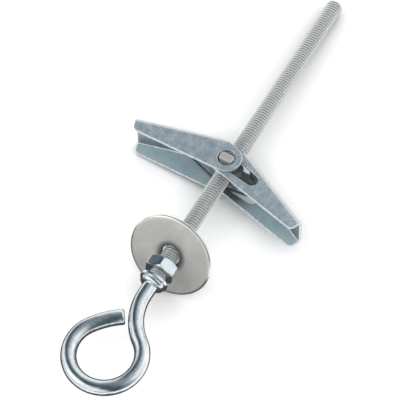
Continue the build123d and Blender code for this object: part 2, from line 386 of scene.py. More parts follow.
def arc(centre, radius, start, end, count):
    """Points centre + radius (cos a, sin a) for evenly spaced a, and the unit tangents in that order."""
    angles = np.linspace(start, end, count)
    points = np.asarray(centre) + radius * np.stack([np.cos(angles), np.sin(angles)], -1)
    tangents = np.sign(end - start) * np.stack([-np.sin(angles), np.cos(angles)], -1)
    return points, tangents


def signed_volume(points, triangles):
    """Sum over triangles of p0 . (p1 x p2) / 6, positive where the faces point outwards."""
    p0, p1, p2 = (points[triangles[:, k]] for k in range(3))
    return float(np.einsum("ij,ij->", p0, np.cross(p1, p2))) / 6


def placed(name, data):
    """A new object at the origin, in the scene."""
    made = bpy.data.objects.new(name, data)
    bpy.context.scene.collection.objects.link(made)
    return made


def shade_smooth(mesh):
    """Marks every face of a mesh as smooth."""
    mesh.polygons.foreach_set("use_smooth", np.ones(len(mesh.polygons), bool))


def grid_object(name, rings, poles=None):
    """A closed mesh from a grid of rings, in the rod's own axes.

    Each ring joins up on itself. With poles, a fan closes the first and the last ring;
    without them the last ring joins the first, as on a torus.
    """
    count, around = rings.shape[:2]
    i = np.arange(count if poles is None else count - 1)[:, None]
    j = np.arange(around)[None, :]
    here, after = i * around, ((i + 1) % count) * around
    right = (j + 1) % around
    quads = np.stack([here + j, here + right, after + right, after + j], -1).reshape(-1, 4)
    points = rings.reshape(-1, 3)
    fans = np.zeros((0, 3), int)
    if poles is not None:
        first, last = len(points), len(points) + 1
        edge = np.arange(around)
        turned = (edge + 1) % around
        base = (count - 1) * around
        fans = np.concatenate([
            np.stack([turned, edge, np.full(around, first)], -1),
            np.stack([base + edge, base + turned, np.full(around, last)], -1),
        ])
        points = np.concatenate([points, poles])
    triangles = np.concatenate([quads[:, [0, 1, 2]], quads[:, [0, 2, 3]], fans])
    if signed_volume(points, triangles) < 0:
        quads, fans = quads[:, ::-1], fans[:, ::-1]
    mesh = bpy.data.meshes.new(name)
    mesh.from_pydata((points @ ROD_AXES).tolist(), [], quads.tolist() + fans.tolist())
    shade_smooth(mesh)
    require(not mesh.validate(), f"{name} has broken faces")
    return placed(name, mesh)


def flat_sheet(name, low, high, level):
    """A level rectangle between two corners, facing up."""
    (left, near), (right, far) = low, high
    corners = [(left, near, level), (right, near, level), (right, far, level), (left, far, level)]
    mesh = bpy.data.meshes.new(name)
    mesh.from_pydata(corners, [], [(0, 1, 2, 3)])
    return placed(name, mesh)


def point_attribute(made, name, kind, values):
    """Keeps one value for each point of the mesh, for its material to read."""
    field = "vector" if kind == "FLOAT_VECTOR" else "value"
    layer = made.data.attributes.new(name, kind, "POINT")
    layer.data.foreach_set(field, np.asarray(values, np.float32).ravel())


def tube_rings(centres, tangents, radii, upright):
    """Rings c + r (cos a S + sin a U) round a path.

    U is the upright direction square to the path's tangent T, U = (u - (u.T) T) / |u - (u.T) T|,
    and S = T x U. radii has one row for each ring and one column for each angle.
    """
    turn = full_turn(radii.shape[1])[None, :, None]
    square = np.asarray(upright) - (tangents @ np.asarray(upright))[:, None] * tangents
    square /= np.linalg.norm(square, axis=1)[:, None]
    side = np.cross(tangents, square)
    spokes = np.cos(turn) * side[:, None, :] + np.sin(turn) * square[:, None, :]
    return centres[:, None, :] + radii[..., None] * spokes


def in_rod_plane(flat):
    """(across, along) pairs as points or directions of the rod's own axes."""
    return np.stack([flat[:, 0], np.zeros(len(flat)), flat[:, 1]], -1)


def rounded_path(corners, bends, spacing):
    """A line through the corners with arcs of the given radii, as points and unit tangents.

    At a corner with unit directions a and b and turn t, the arc of radius r starts r tan(t / 2)
    before the corner and runs over p(s) = start + r (sin s a + (1 - cos s) n), where
    n = (b - cos t a) / sin t and s goes from 0 to t.
    """
    corners = np.asarray(corners, float)
    ways = np.diff(corners, axis=0)
    ways /= np.linalg.norm(ways, axis=1)[:, None]
    points, tangents, last = [], [], corners[0]
    for corner, before, after, bend in zip(corners[1:-1], ways[:-1], ways[1:], bends):
        turn = math.acos(float(np.clip(before @ after, -1, 1)))
        begin = corner - before * bend * math.tan(turn / 2)
        line = np.linspace(0, 1, max(int(np.linalg.norm(begin - last) / spacing), 2), endpoint=False)
        sweep = np.linspace(0, turn, BEND_POINTS)[:, None]
        inward = (after - math.cos(turn) * before) / math.sin(turn)
        points += [
            last + (begin - last) * line[:, None],
            begin + bend * (np.sin(sweep) * before + (1 - np.cos(sweep)) * inward),
        ]
        tangents += [
            np.repeat(before[None], len(line), 0),
            np.cos(sweep) * before + np.sin(sweep) * inward,
        ]
        last = points[-1][-1]
    line = np.linspace(0, 1, max(int(np.linalg.norm(corners[-1] - last) / spacing), 2))[1:]
    points.append(last + (corners[-1] - last) * line[:, None])
    tangents.append(np.repeat(ways[-1][None], len(line), 0))
    return np.concatenate(points), np.concatenate(tangents)


def revolved_rings(radius, height, around):
    """Rings (r cos a, r sin a, h) of a profile turned round the z axis; r may vary with the angle."""
    turn = full_turn(around)
    radius = radius if np.ndim(radius) == 2 else radius[:, None]
    flat = np.stack([radius * np.cos(turn), radius * np.sin(turn)], -1)
    rise = np.broadcast_to(np.asarray(height)[:, None], flat.shape[:2])
    return np.concatenate([flat, rise[..., None]], -1)


def resampled(corners, rounding, spacing):
    """A polyline through the corners, points every spacing, smoothed over the rounding length.

    The line is sampled evenly by its own length and run through a moving average, so each
    corner becomes a small round.
    """
    corners = np.asarray(corners, float)
    steps = np.concatenate([[0], np.cumsum(np.hypot(*np.diff(corners, axis=0).T))])
    wanted = np.linspace(0, steps[-1], max(int(steps[-1] / spacing), FEWEST_POINTS))
    line = np.stack([np.interp(wanted, steps, corners[:, k]) for k in range(2)], -1)
    half = max(int(rounding / (wanted[1] - wanted[0]) / 2), 1)
    padded = np.concatenate([np.repeat(line[:1], half, 0), line, np.repeat(line[-1:], half, 0)])
    summed = np.cumsum(np.concatenate([np.zeros((1, 2)), padded]), axis=0)
    return (summed[2 * half + 1:] - summed[:-2 * half - 1]) / (2 * half + 1)


def merged_copy(node, name):
    """A copy of a CAD node: loose triangles joined, flats made whole and edges marked sharp."""
    shape = bmesh.new()
    shape.from_mesh(node.data)
    bmesh.ops.remove_doubles(shape, verts=shape.verts, dist=MERGE_DISTANCE)
    bmesh.ops.dissolve_limit(shape, angle_limit=FLAT_LIMIT, verts=shape.verts, edges=shape.edges)
    mesh = bpy.data.meshes.new(name)
    shape.to_mesh(mesh)
    shape.free()
    require(len(mesh.polygons), f"{name} has no faces to copy")
    if "custom_normal" in mesh.attributes:
        mesh.attributes.remove(mesh.attributes["custom_normal"])
    mesh.materials.clear()
    shade_smooth(mesh)
    mesh.polygons.foreach_set("material_index", np.zeros(len(mesh.polygons), np.int32))
    mesh.set_sharp_from_angle(angle=PRESSED_CREASE)
    return placed(name, mesh)


def break_edges(made, width, finish_slot, spared=None):
    """Rounds off the sharp edges of a piece, apart from those with a spared end."""
    mesh = made.data
    sharp = np.empty(len(mesh.edges), bool)
    mesh.edges.foreach_get("use_edge_sharp", sharp)
    if spared is not None:
        ends = np.empty(2 * len(mesh.edges), np.int32)
        mesh.edges.foreach_get("vertices", ends)
        sharp &= ~spared[ends.reshape(-1, 2)].any(1)
    weights = mesh.attributes.new("bevel_weight_edge", "FLOAT", "EDGE")
    weights.data.foreach_set("value", sharp.astype(np.float32))
    bevel = made.modifiers.new("broken_edges", "BEVEL")
    bevel.width = width
    bevel.segments = BEVEL_SEGMENTS
    bevel.limit_method = "WEIGHT"
    bevel.material = finish_slot
    bevel.harden_normals = True
    bevel.use_clamp_overlap = False


# Finishes


class NodeWork:
    """A node tree being wired."""

    def __init__(self, tree):
        self.tree = tree
        self.tree.nodes.clear()

    def node(self, kind, **inputs):
        """A new node with plain values or links on its named inputs."""
        made = self.tree.nodes.new(kind)
        for key, value in inputs.items():
            self.feed(made.inputs[key], value)
        return made

    def feed(self, socket, value):
        """Links an output to a socket, or sets the socket's value."""
        if isinstance(value, bpy.types.NodeSocket):
            self.tree.links.new(value, socket)
        else:
            socket.default_value = value

    def calculated(self, kind, operation, values, result):
        """One calculation on numbers or vectors, given as values or outputs."""
        made = self.tree.nodes.new(kind)
        made.operation = operation
        for socket, value in zip(made.inputs, values):
            self.feed(socket, value)
        return made.outputs[result]

    def number(self, operation, first, second):
        """One calculation on two numbers."""
        return self.calculated("ShaderNodeMath", operation, (first, second), "Value")

    def vector(self, operation, *values, result="Value"):
        """One calculation on one or two vectors."""
        return self.calculated("ShaderNodeVectorMath", operation, values, result)

    def spread(self, value, low, high, to_low=0.0, to_high=1.0):
        """Maps the stretch low to high onto to_low to to_high."""
        made = self.node("ShaderNodeMapRange", Value=value)
        names = ("From Min", "From Max", "To Min", "To Max")
        for name, number in zip(names, (low, high, to_low, to_high)):
            made.inputs[name].default_value = number
        return made.outputs["Result"]

    def blended(self, factor, first, second):
        """Mixes two colours."""
        made = self.tree.nodes.new("ShaderNodeMix")
        made.data_type = "RGBA"
        colours = [socket for socket in made.inputs if socket.type == "RGBA"]
        self.feed(made.inputs["Factor"], factor)
        for socket, value in zip(colours, (first, second)):
            self.feed(socket, value if isinstance(value, bpy.types.NodeSocket) else (*value, 1.0))
        return next(socket for socket in made.outputs if socket.type == "RGBA")

    def seen_rays(self):
        """1 for the rays that show a background: camera, glossy and transmission."""
        path = self.node("ShaderNodeLightPath").outputs
        seen = self.number("MAXIMUM", path["Is Camera Ray"], path["Is Glossy Ray"])
        return self.number("MAXIMUM", seen, path["Is Transmission Ray"])


class Finish(NodeWork):
    """A node material being wired: one principled shader and what feeds it."""

    def __init__(self, name):
        self.material = bpy.data.materials.new(name)
        self.material.use_nodes = True
        super().__init__(self.material.node_tree)
        output = self.node("ShaderNodeOutputMaterial")
        self.shader = self.node("ShaderNodeBsdfPrincipled")
        self.tree.links.new(self.shader.outputs["BSDF"], output.inputs["Surface"])

    def mapped(self, point, stretch, shift=(0, 0, 0)):
        """A point's coordinates, each times its stretch, and then shifted."""
        made = self.node("ShaderNodeMapping", Vector=point, Scale=stretch, Location=shift)
        return made.outputs["Vector"]

    def object_point(self, stretch=(1, 1, 1), shift=(0, 0, 0)):
        """Object coordinates, stretched and shifted."""
        return self.mapped(self.node("ShaderNodeTexCoord").outputs["Object"], stretch, shift)

    def attribute(self, name):
        """The outputs of a point attribute."""
        held = self.node("ShaderNodeAttribute")
        held.attribute_name = name
        return held.outputs

    def straightened_point(self, stretch=(1, 1, 1)):
        """The rod's coordinates as if it were straight, stretched."""
        return self.mapped(self.attribute("straightened")["Vector"], stretch)

    def line_distance(self, centre, line):
        """Distance of a point p from the line through a centre: |(p - centre) x line|, line being a unit."""
        centred = self.object_point(shift=tuple(-centre))
        return self.vector("LENGTH", self.vector("CROSS_PRODUCT", centred, tuple(line), result="Vector"))

    def noise(self, point, scale, detail=3.0, roughness=0.55):
        """Noise from 0 to 1, with scale in cells to the metre."""
        made = self.node(
            "ShaderNodeTexNoise", Vector=point, Scale=scale, Detail=detail, Roughness=roughness
        )
        return made.outputs["Fac"]

    def mixed(self, first, second, part):
        """Two patterns in one: (1 - part) times the first and part times the second."""
        parts = self.number("MULTIPLY", first, 1 - part), self.number("MULTIPLY", second, part)
        return self.number("ADD", *parts)

    def patchy(self, pattern, dark, light, low=NOISE_LOW, high=NOISE_HIGH):
        """A colour that goes from dark to light as a pattern goes from low to high."""
        return self.blended(self.spread(pattern, low, high), dark, light)

    def sheen(self, pattern, smooth, dull):
        """A roughness that goes from smooth to dull with a noise."""
        return self.spread(pattern, NOISE_LOW, NOISE_HIGH, smooth, dull)

    def bumped(self, height, distance, strength):
        """Feeds a bump of that height into the shader."""
        made = self.node("ShaderNodeBump", Height=height, Distance=distance, Strength=strength)
        self.feed(self.shader.inputs["Normal"], made.outputs["Normal"])

    def dress(self, base, roughness, metal=1.0):
        """Feeds the shader's colour, roughness and share of bare metal."""
        self.feed(self.shader.inputs["Metallic"], metal)
        self.feed(self.shader.inputs["Base Color"], base)
        self.feed(self.shader.inputs["Roughness"], roughness)
        return self.material


def wire_zinc(colours):
    """Bright drawn wire: fine streaks along the wire and faint dull patches."""
    finish = Finish("wire_zinc")
    streaks = finish.noise(finish.straightened_point(stretch=(1, 1, 0.16)), scale=2600.0, detail=4.0)
    patches = finish.noise(finish.straightened_point(), scale=260.0, detail=4.0, roughness=0.6)
    mixed = finish.mixed(streaks, patches, part=0.55)
    base = finish.patchy(mixed, colours.wire_dark, colours.wire_light, low=0.41, high=0.59)
    finish.bumped(finish.number("ADD", streaks, patches), distance=0.07 * MM, strength=0.60)
    return finish.dress(base, finish.sheen(patches, smooth=0.12, dull=0.24))


def thread_zinc(colours):
    """Rolled thread: painted shade in the roots that lightens to pale crests, and an uneven plate."""
    finish = Finish("thread_zinc")
    crest = finish.attribute("crest")["Fac"]
    specks = finish.noise(finish.straightened_point(), scale=1900.0)
    patches = finish.noise(finish.straightened_point(), scale=180.0)
    unevenness = finish.spread(specks, 0.0, 1.0, to_low=-0.25, to_high=0.25)
    height = finish.number("ADD", crest, unevenness)
    # Painted shade: the colour darkens from crest to root.
    base = finish.patchy(height, colours.root, colours.crest, low=0.05, high=0.75)
    finish.bumped(specks, distance=0.03 * MM, strength=0.3)
    return finish.dress(base, finish.sheen(patches, smooth=0.30, dull=0.44), metal=0.5)


def nut_zinc(colours):
    """Bright zinc on machined flats: faint patches and very fine lines."""
    finish = Finish("nut_zinc")
    lines = finish.noise(finish.object_point(stretch=(0.2, 1, 1)), scale=3200.0)
    patches = finish.noise(finish.object_point(), scale=420.0, detail=4.0)
    base = finish.patchy(patches, colours.wire_dark, colours.wire_light)
    finish.bumped(lines, distance=0.02 * MM, strength=0.25)
    return finish.dress(base, finish.sheen(patches, smooth=0.06, dull=0.12))


def washer_satin(colours):
    """Tumbled satin plate: soft clouds, fine grain, a few short scratches, painted shade round the hole and
    a barer, smoother rim.
    """
    finish = Finish("washer_satin")
    clouds = finish.noise(finish.object_point(), scale=150.0, detail=5.0, roughness=0.6)
    grain = finish.noise(finish.object_point(), scale=2400.0)
    lengthened = finish.object_point(stretch=(0.25, 2.0, 1.0))
    scratches = finish.noise(lengthened, scale=900.0, detail=5.0, roughness=0.7)
    mixed = finish.mixed(clouds, grain, part=0.3)
    base = finish.patchy(mixed, colours.washer_dark, colours.washer_light, low=0.36, high=0.64)
    # The ring is painted shade: a dark colour round the hole for the shade in the gap by the stud.
    base = finish.blended(finish.attribute("ring")["Fac"], base, colours.washer_hole_shade)
    finish.bumped(finish.number("ADD", grain, scratches), distance=0.02 * MM, strength=0.25)
    rim = finish.attribute("rim")["Fac"]
    rubbed = finish.spread(rim, 0.0, 1.0, to_high=0.16)
    rough = finish.number("SUBTRACT", finish.sheen(clouds, smooth=0.34, dull=0.46), rubbed)
    return finish.dress(base, rough, metal=finish.spread(rim, 0.0, 1.0, to_low=0.4, to_high=1.0))


def wing_mottled(colours):
    """Pressed zinc-plated sheet: blue-grey mottling over a fine grain."""
    finish = Finish("wing_mottled")
    mottle = finish.noise(finish.object_point(), scale=420.0, detail=6.0, roughness=0.68)
    grain = finish.noise(finish.object_point(), scale=2600.0)
    drift = finish.noise(finish.object_point(), scale=70.0, detail=2.0)
    mixed = finish.mixed(mottle, grain, part=0.35)
    base = finish.patchy(mixed, colours.wing_dark, colours.wing_light, low=0.40, high=0.62)
    finish.bumped(mixed, distance=0.03 * MM, strength=0.3)
    mottled_sheen = finish.sheen(mottle, smooth=0.18, dull=0.28)
    rough = finish.number("ADD", mottled_sheen, finish.sheen(drift, smooth=0.0, dull=0.06))
    return finish.dress(base, rough, metal=0.7)


def wing_edge_painted_highlight(colours):
    """Broken edges of the sheet, lightened as a painted highlight."""
    finish = Finish("wing_edge_painted_highlight")
    rubbed = finish.noise(finish.object_point(), scale=900.0)
    base = finish.patchy(rubbed, colours.wing_light, colours.wing_edge_highlight)
    return finish.dress(base, finish.sheen(rubbed, smooth=0.22, dull=0.36), metal=0.6)


def wing_bend_rubbed(colours):
    """Bends of the sheet, rubbed bright and smooth by the press."""
    finish = Finish("wing_bend_rubbed")
    rubbed = finish.noise(finish.object_point(), scale=420.0, detail=4.0, roughness=0.6)
    base = finish.patchy(rubbed, colours.bend_dark, colours.bend_light)
    return finish.dress(base, finish.sheen(rubbed, smooth=0.16, dull=0.26), metal=0.8)


def wing_inside_painted_light(colours):
    """Inner faces of the cheeks: smoother and paler, as a painted reflection of light bounced inside the
    channel, with painted shade round the inner wing's slots near the pivot.
    """
    sizes = bpy.context.scene.toggle_wings
    finish = Finish("wing_inside_painted_light")
    clouds = finish.noise(finish.object_point(), scale=160.0, detail=4.0, roughness=0.6)
    grain = finish.noise(finish.object_point(), scale=2600.0)
    # Painted reflection: a pale colour on a nearly matt face for the light mirrored inside the channel.
    base = finish.patchy(clouds, colours.inside_reflection_dark, colours.inside_reflection_light, low=0.34, high=0.66)
    # Painted shade: darkens the inner wing's cheeks towards the pivot.
    near = finish.spread(finish.line_distance(PIVOT, DOWN), sizes.pivot_shade_reach, sizes.pivot_shade_heart)
    pivot_shade = finish.number("MULTIPLY", near, finish.attribute("pivot_shaded")["Fac"])
    base = finish.blended(pivot_shade, base, colours.pivot_shade)
    finish.bumped(grain, distance=0.02 * MM, strength=0.25)
    return finish.dress(base, finish.sheen(clouds, smooth=0.24, dull=0.36), metal=0.04)


def wing_web_painted_shade(colours):
    """Underside of the web: a thin plate, darkened as painted shade."""
    finish = Finish("wing_web_painted_shade")
    clouds = finish.noise(finish.object_point(), scale=260.0, detail=4.0, roughness=0.6)
    base = finish.patchy(clouds, colours.web_shade_dark, colours.web_shade_light, low=0.34, high=0.66)
    return finish.dress(base, finish.sheen(clouds, smooth=0.38, dull=0.50), metal=0.7)


def trunnion_satin_slab_shade(colours):
    """Sheared and plated slab: painted shade darkens the slab between warm satin ears, both with darker
    smears.
    """
    finish = Finish("trunnion_satin_slab_shade")
    lengthened = finish.object_point(stretch=(1.0, 1.0, 0.4))
    smears = finish.noise(lengthened, scale=600.0, detail=5.0, roughness=0.6)
    grain = finish.noise(finish.object_point(), scale=2800.0)
    ears = finish.patchy(smears, colours.trunnion_dark, colours.trunnion_light, low=0.32, high=0.68)
    slab = finish.patchy(smears, colours.slab_shade_dark, colours.slab_shade_light, low=0.32, high=0.68)
    # The slab is painted shade; the ears keep the plain plate.
    base = finish.blended(finish.attribute("ear")["Fac"], slab, ears)
    finish.bumped(grain, distance=0.03 * MM, strength=0.3)
    return finish.dress(base, finish.sheen(smears, smooth=0.26, dull=0.42), metal=0.5)


def spring_drawn(colours):
    """Drawn spring wire: dark steel with lengthwise streaks."""
    finish = Finish("spring_drawn")
    streaks = finish.noise(finish.object_point(stretch=(0.5, 0.2, 1.0)), scale=2600.0, detail=4.0)
    base = finish.patchy(streaks, colours.spring_dark, colours.spring_light)
    return finish.dress(base, finish.sheen(streaks, smooth=0.28, dull=0.42))


# One maker for each of the wings' slots: plate, edge, bend, inside and web.
WING_FINISHES = (wing_mottled, wing_edge_painted_highlight, wing_bend_rubbed, wing_inside_painted_light, wing_web_painted_shade)


# Operators


def rod_stations(rod):
    """Stations along the rod: the neck's end, the collar's base, its flange and the face under the stud.

    The neck's circle touches the eye's circle from outside and the rod's axis from its side, so with
    radii n and e it ends sqrt(e^2 + 2 e n) above the eye's middle.
    """
    neck_end = math.sqrt(rod.eye_bend**2 + 2 * rod.eye_bend * rod.neck_bend)
    base = neck_end + rod.shank_straight
    flange = base + rod.bead_height + rod.groove_height
    return neck_end, base, flange, flange + rod.flange_height


class TOGGLE_OT_rod(bpy.types.Operator):
    """Bends the wire eye and rolls the collar and the thread, as one skin over the whole rod"""

    bl_idname = "toggle.rod"
    bl_label = "Eye, collar and stud"

    def execute(self, context):
        sizes = context.scene.toggle_rod
        wire, wire_tangents, wire_radii = self.wire(sizes)
        collar = self.collar(sizes)
        stations, crest, stud_radii = self.stud(sizes)

        straight = np.concatenate([collar[:, 0], stations])
        centres = np.concatenate([wire, np.stack([np.zeros(len(straight)), straight], -1)])
        tangents = np.concatenate([wire_tangents, np.tile([0.0, 1.0], (len(straight), 1))])
        plain = np.concatenate([wire_radii, collar[:, 1]])
        radii = np.concatenate([np.repeat(plain[:, None], sizes.around, 1), stud_radii])
        rings = tube_rings(in_rod_plane(centres), in_rod_plane(tangents), radii, ROD_DOWN)
        rod = grid_object("eye_bolt_rod", rings, in_rod_plane(centres)[[0, -1]])
        rod.data.set_sharp_from_angle(angle=TURNED_CREASE)

        unrolled, ends = self.straightened(centres, radii)
        point_attribute(rod, "straightened", "FLOAT_VECTOR", np.concatenate([unrolled, ends]))
        crests = np.concatenate([np.ones((len(plain), sizes.around)), crest]).ravel()
        point_attribute(rod, "crest", "FLOAT", np.concatenate([crests, [1, 1]]))

        # The faces come ring by ring, then the fans of the cut tail and of the stud's end.
        colours = context.scene.toggle_finish
        rod.data.materials.append(wire_zinc(colours))
        rod.data.materials.append(thread_zinc(colours))
        threaded = np.arange(len(rod.data.polygons)) >= (len(plain) - 1) * sizes.around
        threaded[-2 * sizes.around:-sizes.around] = False
        rod.data.polygons.foreach_set("material_index", threaded.astype(np.int32))
        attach(rod, "eye_bolt")
        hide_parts("eye_bolt")
        return {"FINISHED"}

    def wire(self, sizes):
        """Tail, eye and neck as three arcs that touch: middle line, tangents and radii.

        The tail's flat cut comes first, as rings of half and of full width, and the step from there to the
        wire's radius is its broken edge.
        """
        neck_end = rod_stations(sizes)[0]
        neck_angle = math.atan2(neck_end, sizes.neck_bend)
        offset = sizes.tail_bend - sizes.eye_bend
        tail_centre = (-offset * math.cos(sizes.tail_start), -offset * math.sin(sizes.tail_start))
        bends = [
            arc(tail_centre, sizes.tail_bend, sizes.tail_end, sizes.tail_start, TAIL_POINTS),
            arc((0, 0), sizes.eye_bend, sizes.tail_start, 2 * math.pi + neck_angle, EYE_POINTS),
            arc((sizes.neck_bend, neck_end), sizes.neck_bend, math.pi + neck_angle, math.pi, NECK_POINTS),
        ]
        wire = np.concatenate([points[:-1] for points, _ in bends])
        tangents = np.concatenate([tangents[:-1] for _, tangents in bends])
        tail_step = sizes.tail_bend * (sizes.tail_start - sizes.tail_end) / (TAIL_POINTS - 1)
        keep = np.arange(len(wire)) * tail_step >= sizes.tail_chamfer
        cut = np.array([0.5, 1.0]) * (sizes.wire_radius - sizes.tail_chamfer)
        return (
            np.concatenate([np.repeat(wire[:1], len(cut), 0), wire[keep]]),
            np.concatenate([np.repeat(tangents[:1], len(cut), 0), tangents[keep]]),
            np.concatenate([cut, np.full(keep.sum(), sizes.wire_radius)]),
        )

    def collar(self, sizes):
        """Shank and collar: a rounded profile of station and radius, with a quarter round for the bead."""
        neck_end, base, flange, face = rod_stations(sizes)
        sweep = np.linspace(0, np.pi / 2, BEAD_POINTS)[1:]
        bead = np.stack([
            base + sizes.bead_height * (1 - np.cos(sweep)),
            sizes.wire_radius + (sizes.bead_radius - sizes.wire_radius) * np.sin(sweep),
        ], -1)
        corners = np.concatenate([
            [(neck_end, sizes.wire_radius), (base, sizes.wire_radius)],
            bead,
            [(flange, sizes.groove_radius), (flange, sizes.flange_radius), (face, sizes.flange_radius)],
            [(face, sizes.stud_radius - sizes.thread_depth)],
        ])
        return resampled(corners, COLLAR_ROUND, COLLAR_STEP)

    def stud(self, sizes):
        """Stations, crest heights from 0 to 1 and radii of the thread.

        The fraction of (station / pitch + angle / turn) is the place in the pitch, and the flanks fall off
        on both sides of its middle. The thread runs out at the collar, and the chamfer at the end limits
        its radius.
        """
        face = rod_stations(sizes)[-1]
        require(STUD_END - face > sizes.stud_chamfer, "The stud has no room for its thread")
        steps = int((STUD_END - face) / sizes.pitch * RINGS_PER_PITCH)
        stations = np.linspace(face, STUD_END, steps)[1:]
        turn = np.linspace(0, 1, sizes.around, endpoint=False)
        phase = (stations[:, None] / sizes.pitch + turn[None, :]) % 1.0
        crest = np.clip(CREST_PEAK_SHARE - FLANK_FALL_SHARE * np.abs(phase - 0.5), 0, 1)
        crest = crest * smooth_step(stations, face, face + RUNOUT_TURNS * sizes.pitch)[:, None]
        limit = sizes.stud_radius - np.clip(stations - STUD_END + sizes.stud_chamfer, 0, None)[:, None]
        return stations, crest, np.minimum(sizes.stud_radius - sizes.thread_depth * (1 - crest), limit)

    def straightened(self, centres, radii):
        """Points (r cos a, r sin a, run), where run is the middle line's length, and the two ends."""
        run = np.concatenate([[0], np.cumsum(np.hypot(*np.diff(centres, axis=0).T))])
        turn = full_turn(radii.shape[1])
        flat = radii[..., None] * np.stack([np.cos(turn), np.sin(turn)], -1)[None]
        lengthwise = np.broadcast_to(run[:, None, None], (*radii.shape, 1))
        unrolled = np.concatenate([flat, lengthwise], -1).reshape(-1, 3)
        return unrolled, np.array([[0, 0, 0], [0, 0, run[-1]]])


class TOGGLE_OT_nut(bpy.types.Operator):
    """Turns the chamfered blank of the nut and cuts its six flats"""

    bl_idname = "toggle.nut"
    bl_label = "Hexagon nut"

    def execute(self, context):
        sizes = context.scene.toggle_nut
        station = rod_stations(context.scene.toggle_rod)[-1] + sizes.gap
        half_side = math.pi / 6
        corner = sizes.half_flats / math.cos(half_side)
        mouth = sizes.bore_radius + sizes.chamfer / 2
        profile = resampled(
            [
                (sizes.height / 2, sizes.bore_radius), (0, mouth), (0, corner - sizes.chamfer),
                (sizes.chamfer, corner), (sizes.height - sizes.chamfer, corner),
                (sizes.height, corner - sizes.chamfer), (sizes.height, mouth),
                (sizes.height / 2, sizes.bore_radius),
            ],
            sizes.edge_round,
            NUT_STEP,
        )[:-1]
        turn = full_turn(NUT_POINTS)
        lobe = (turn - sizes.turn) % (2 * half_side) - half_side
        flats = sizes.half_flats / np.cos(lobe)
        blank = np.broadcast_to(profile[:, 1:2], (len(profile), NUT_POINTS))

        # The smaller of blank and hexagon, with a soft corner: (a + b - sqrt((a - b)^2 + e^2)) / 2.
        inside = (blank + flats - np.sqrt((blank - flats) ** 2 + sizes.edge_round**2)) / 2
        radius = np.where(blank < sizes.bore_radius + sizes.chamfer, blank, inside)
        rings = revolved_rings(radius, station + profile[:, 0], NUT_POINTS)
        quarter = np.array([[0, -1, 0], [1, 0, 0], [0, 0, 1.0]])
        nut = grid_object("hex_nut_turned", rings @ quarter)
        nut.data.set_sharp_from_angle(angle=TURNED_CREASE)
        nut.data.materials.append(nut_zinc(context.scene.toggle_finish))
        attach(nut, "nut")
        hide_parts("hex_nut")
        return {"FINISHED"}


class TOGGLE_OT_washer(bpy.types.Operator):
    """Presses the shallow washer, leaning on the stud"""

    bl_idname = "toggle.washer"
    bl_label = "Washer"

    def execute(self, context):
        sizes = context.scene.toggle_washer
        half = sizes.half_thickness
        rim_start = sizes.radius - sizes.rim_width
        rim_end = sizes.radius - sizes.rim_round
        corners = [
            (sizes.hole_radius, -half), (rim_start, -half), (rim_end, -half + sizes.rim_drop),
            (sizes.radius, -half * EDGE_LOW_SHARE), (sizes.radius, half * EDGE_HIGH_SHARE),
            (rim_end, half), (sizes.hole_radius, half), (sizes.hole_radius, -half),
        ]
        profile = resampled(corners, WASHER_ROUND, WASHER_STEP)[:-1]
        radius, height = profile[:, 0], profile[:, 1]
        reach = (sizes.radius - radius) / (sizes.radius - sizes.hole_radius)
        inward = np.clip(reach, 0, 1)
        rings = revolved_rings(radius, height + sizes.dish * inward**DISH_POWER, WASHER_POINTS)

        # The hole is a little oval: its sides come in towards the stud, and that fades out towards the rim.
        rings[..., 0] *= (1 - sizes.draw_in * inward**DRAW_IN_POWER)[:, None]

        # Unevenness: a low wave of two and three lobes that grows towards the rim.
        turn = full_turn(WASHER_POINTS)
        wave = np.sin(2 * turn + RIPPLE_PHASE) + RIPPLE_THIRD_SHARE * np.sin(3 * turn)
        rings[..., 2] += sizes.ripple * wave[None, :] * (1 - reach)[:, None]
        rings = rings @ np.array([
            [1, 0, 0],
            [0, math.cos(sizes.lean), -math.sin(sizes.lean)],
            [0, math.sin(sizes.lean), math.cos(sizes.lean)],
        ])

        # It lies in the middle of the CAD washer's box.
        low, high = (np.array(corner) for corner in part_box("washer"))
        span = rings.reshape(-1, 3) @ ROD_AXES
        shift = (low + high) / 2 - (span.min(0) + span.max(0)) / 2
        washer = grid_object("washer_pressed", rings + shift @ ROD_AXES.T)
        washer.data.set_sharp_from_angle(angle=TURNED_CREASE)
        out = np.repeat(radius, WASHER_POINTS)
        hole_shade_end = sizes.hole_radius + sizes.hole_shade_width
        point_attribute(washer, "rim", "FLOAT", smooth_step(out, rim_start, rim_end))
        # The ring attribute carries the painted shade round the hole.
        point_attribute(washer, "ring", "FLOAT", 1 - smooth_step(out, sizes.hole_radius, hole_shade_end))
        washer.data.materials.append(washer_satin(context.scene.toggle_finish))
        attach(washer, "washer")
        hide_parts("washer")
        return {"FINISHED"}


